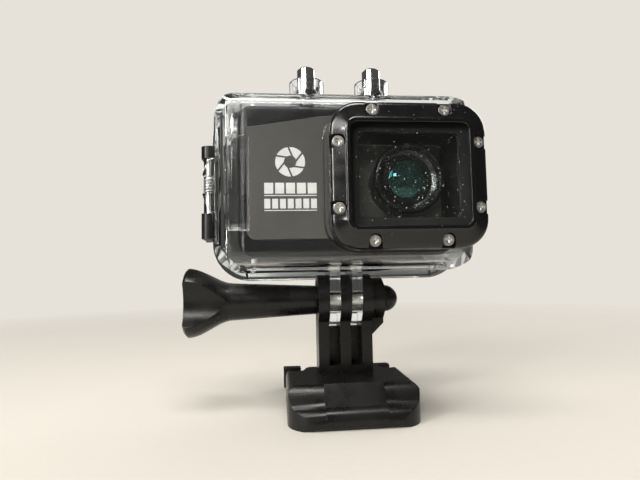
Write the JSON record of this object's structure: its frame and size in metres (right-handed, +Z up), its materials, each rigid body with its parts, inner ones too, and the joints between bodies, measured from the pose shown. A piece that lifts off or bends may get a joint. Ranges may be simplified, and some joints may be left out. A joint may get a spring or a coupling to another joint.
{
  "type": "action camera in a clear dive housing",
  "caption": "Action camera in a clear waterproof housing with a square black lens port, chrome top buttons and a side latch, on a tilting stand with a long thumb screw.",
  "frame": {"origin": "On the underside of the stand's foot, straight below the tilt axis and midway between the stand's outer fingers.", "axes": "+Z up with the foot flat on a level surface; -Y is the way the lens looks; +X is the object's right as seen from in front of the lens, the side the nut is on. The thumb screw's knob is toward -X."},
  "size_m": [0.088, 0.0465, 0.0985],
  "materials": {
    "clear_shell": "clear, polished polycarbonate",
    "window_glass": "clear, flat",
    "lens_glass": "coated, dark green sheen",
    "black_gloss": "glossy black",
    "black_plastic": "satin black, fine grain",
    "stand_plastic": "satin black, tough nylon",
    "plate_grey": "satin dark warm grey",
    "print_white": "flat white print",
    "chrome_metal": "polished",
    "screw_steel": "turned, bright",
    "spring_steel": "drawn wire",
    "insert_brass": "turned",
    "seal_rubber": "soft black",
    "seal_clear": "milky silicone",
    "board_green": "printed board, satin",
    "screen_glass": "dark, glossy"
  },
  "bodies": {
    "mount": {"stand_foot": "stand_plastic", "tilt_nut": "black_plastic"},
    "clip_left": {"release_clip_left": "stand_plastic"},
    "clip_right": {"release_clip_right": "stand_plastic"},
    "thumb_screw": {"thumb_knob": "stand_plastic", "thumb_bolt": "screw_steel", "knob_cap": "stand_plastic"},
    "housing": {"front_case": "clear_shell", "port_gasket": "seal_rubber", "port_window": "window_glass", "lens_bezel": "black_gloss", "bezel_screws": "screw_steel", "latch_pin": "screw_steel", "latch_spring": "spring_steel", "door_hinge_pin": "screw_steel", "shutter_spring": "spring_steel", "power_spring": "spring_steel", "camera_front_shell": "black_plastic", "camera_rear_shell": "black_plastic", "front_plate": "plate_grey", "front_emblem": "print_white", "lens_barrel": "black_plastic", "lens_trim_ring": "black_gloss", "front_lens": "lens_glass", "rear_lens": "lens_glass", "aperture_ring": "black_plastic", "sensor_board": "board_green", "main_board": "board_green", "battery": "black_plastic", "battery_door": "black_plastic", "rear_screen": "screen_glass", "screen_cover": "screen_glass", "memory_card": "black_plastic", "side_port_cover": "black_plastic", "tripod_insert": "insert_brass", "shell_screws": "screw_steel", "microphone": "screw_steel", "speaker": "black_plastic", "status_light": "window_glass"},
    "latch": {"side_latch": "black_plastic"},
    "door": {"back_door": "clear_shell", "door_seal": "seal_clear"},
    "shutter_key": {"shutter_cap": "chrome_metal", "shutter_oring": "seal_rubber", "shutter_clip": "spring_steel"},
    "power_key": {"power_cap": "chrome_metal", "power_oring": "seal_rubber", "power_clip": "spring_steel"},
    "camera_shutter": {"camera_shutter_button": "plate_grey"},
    "camera_power": {"camera_power_button": "plate_grey"},
    "camera_up": {"camera_up_button": "black_plastic"},
    "camera_down": {"camera_down_button": "black_plastic"}
  },
  "joints": [
    {"name": "housing_tilt", "type": "hinge", "parent": "mount", "child": "housing", "pos_m": [0, 0, 0.03], "axis": [1, 0, 0], "range_deg": [-90, 60]},
    {"name": "thumb_screw_turn", "type": "hinge", "parent": "mount", "child": "thumb_screw", "pos_m": [0, 0, 0.03], "axis": [1, 0, 0], "range_deg": [0, 360]},
    {"name": "clip_squeeze_right", "type": "hinge", "parent": "mount", "child": "clip_right", "pos_m": [0.0136, 0.0032, 0], "axis": [0, 0, 1], "range_deg": [0, 5], "stiffness_Nm_per_rad": 1},
    {"name": "clip_squeeze_left", "type": "hinge", "parent": "mount", "child": "clip_left", "pos_m": [-0.0136, 0.0032, 0], "axis": [0, 0, -1], "range_deg": [0, 5], "stiffness_Nm_per_rad": 1},
    {"name": "latch_turn", "type": "hinge", "parent": "housing", "child": "latch", "pos_m": [-0.0386, 0.001, 0], "axis": [0, 0, 1], "range_deg": [0, 110]},
    {"name": "door_swing", "type": "hinge", "parent": "housing", "child": "door", "pos_m": [0.0409, 0.0119, 0], "axis": [0, 0, -1], "range_deg": [0, 110]},
    {"name": "shutter_press", "type": "slide", "parent": "housing", "child": "shutter_key", "axis": [0, 0, -1], "range_m": [0, 0.0012], "stiffness_N_per_m": 700, "springref_m": -0.0004, "deforming": ["shutter_spring"]},
    {"name": "power_press", "type": "slide", "parent": "housing", "child": "power_key", "axis": [0, 0, -1], "range_m": [0, 0.0012], "stiffness_N_per_m": 700, "springref_m": -0.0004, "deforming": ["power_spring"]},
    {"name": "camera_shutter_press", "type": "slide", "parent": "housing", "child": "camera_shutter", "axis": [0, 0, -1], "range_m": [0, 0.0007]},
    {"name": "camera_power_press", "type": "slide", "parent": "housing", "child": "camera_power", "axis": [0, 0, -1], "range_m": [0, 0.0007]},
    {"name": "camera_up_press", "type": "slide", "parent": "housing", "child": "camera_up", "axis": [1, 0, 0], "range_m": [0, 0.0004], "stiffness_N_per_m": 1500},
    {"name": "camera_down_press", "type": "slide", "parent": "housing", "child": "camera_down", "axis": [1, 0, 0], "range_m": [0, 0.0004], "stiffness_N_per_m": 1500}
  ],
  "couplings": [
    {"joint": "door_swing", "follows": "latch_turn", "ratio": 1},
    {"joint": "clip_squeeze_left", "follows": "clip_squeeze_right", "ratio": 1},
    {"joint": "camera_shutter_press", "follows": "shutter_press", "ratio": 0.5},
    {"joint": "camera_power_press", "follows": "power_press", "ratio": 0.5}
  ]
}
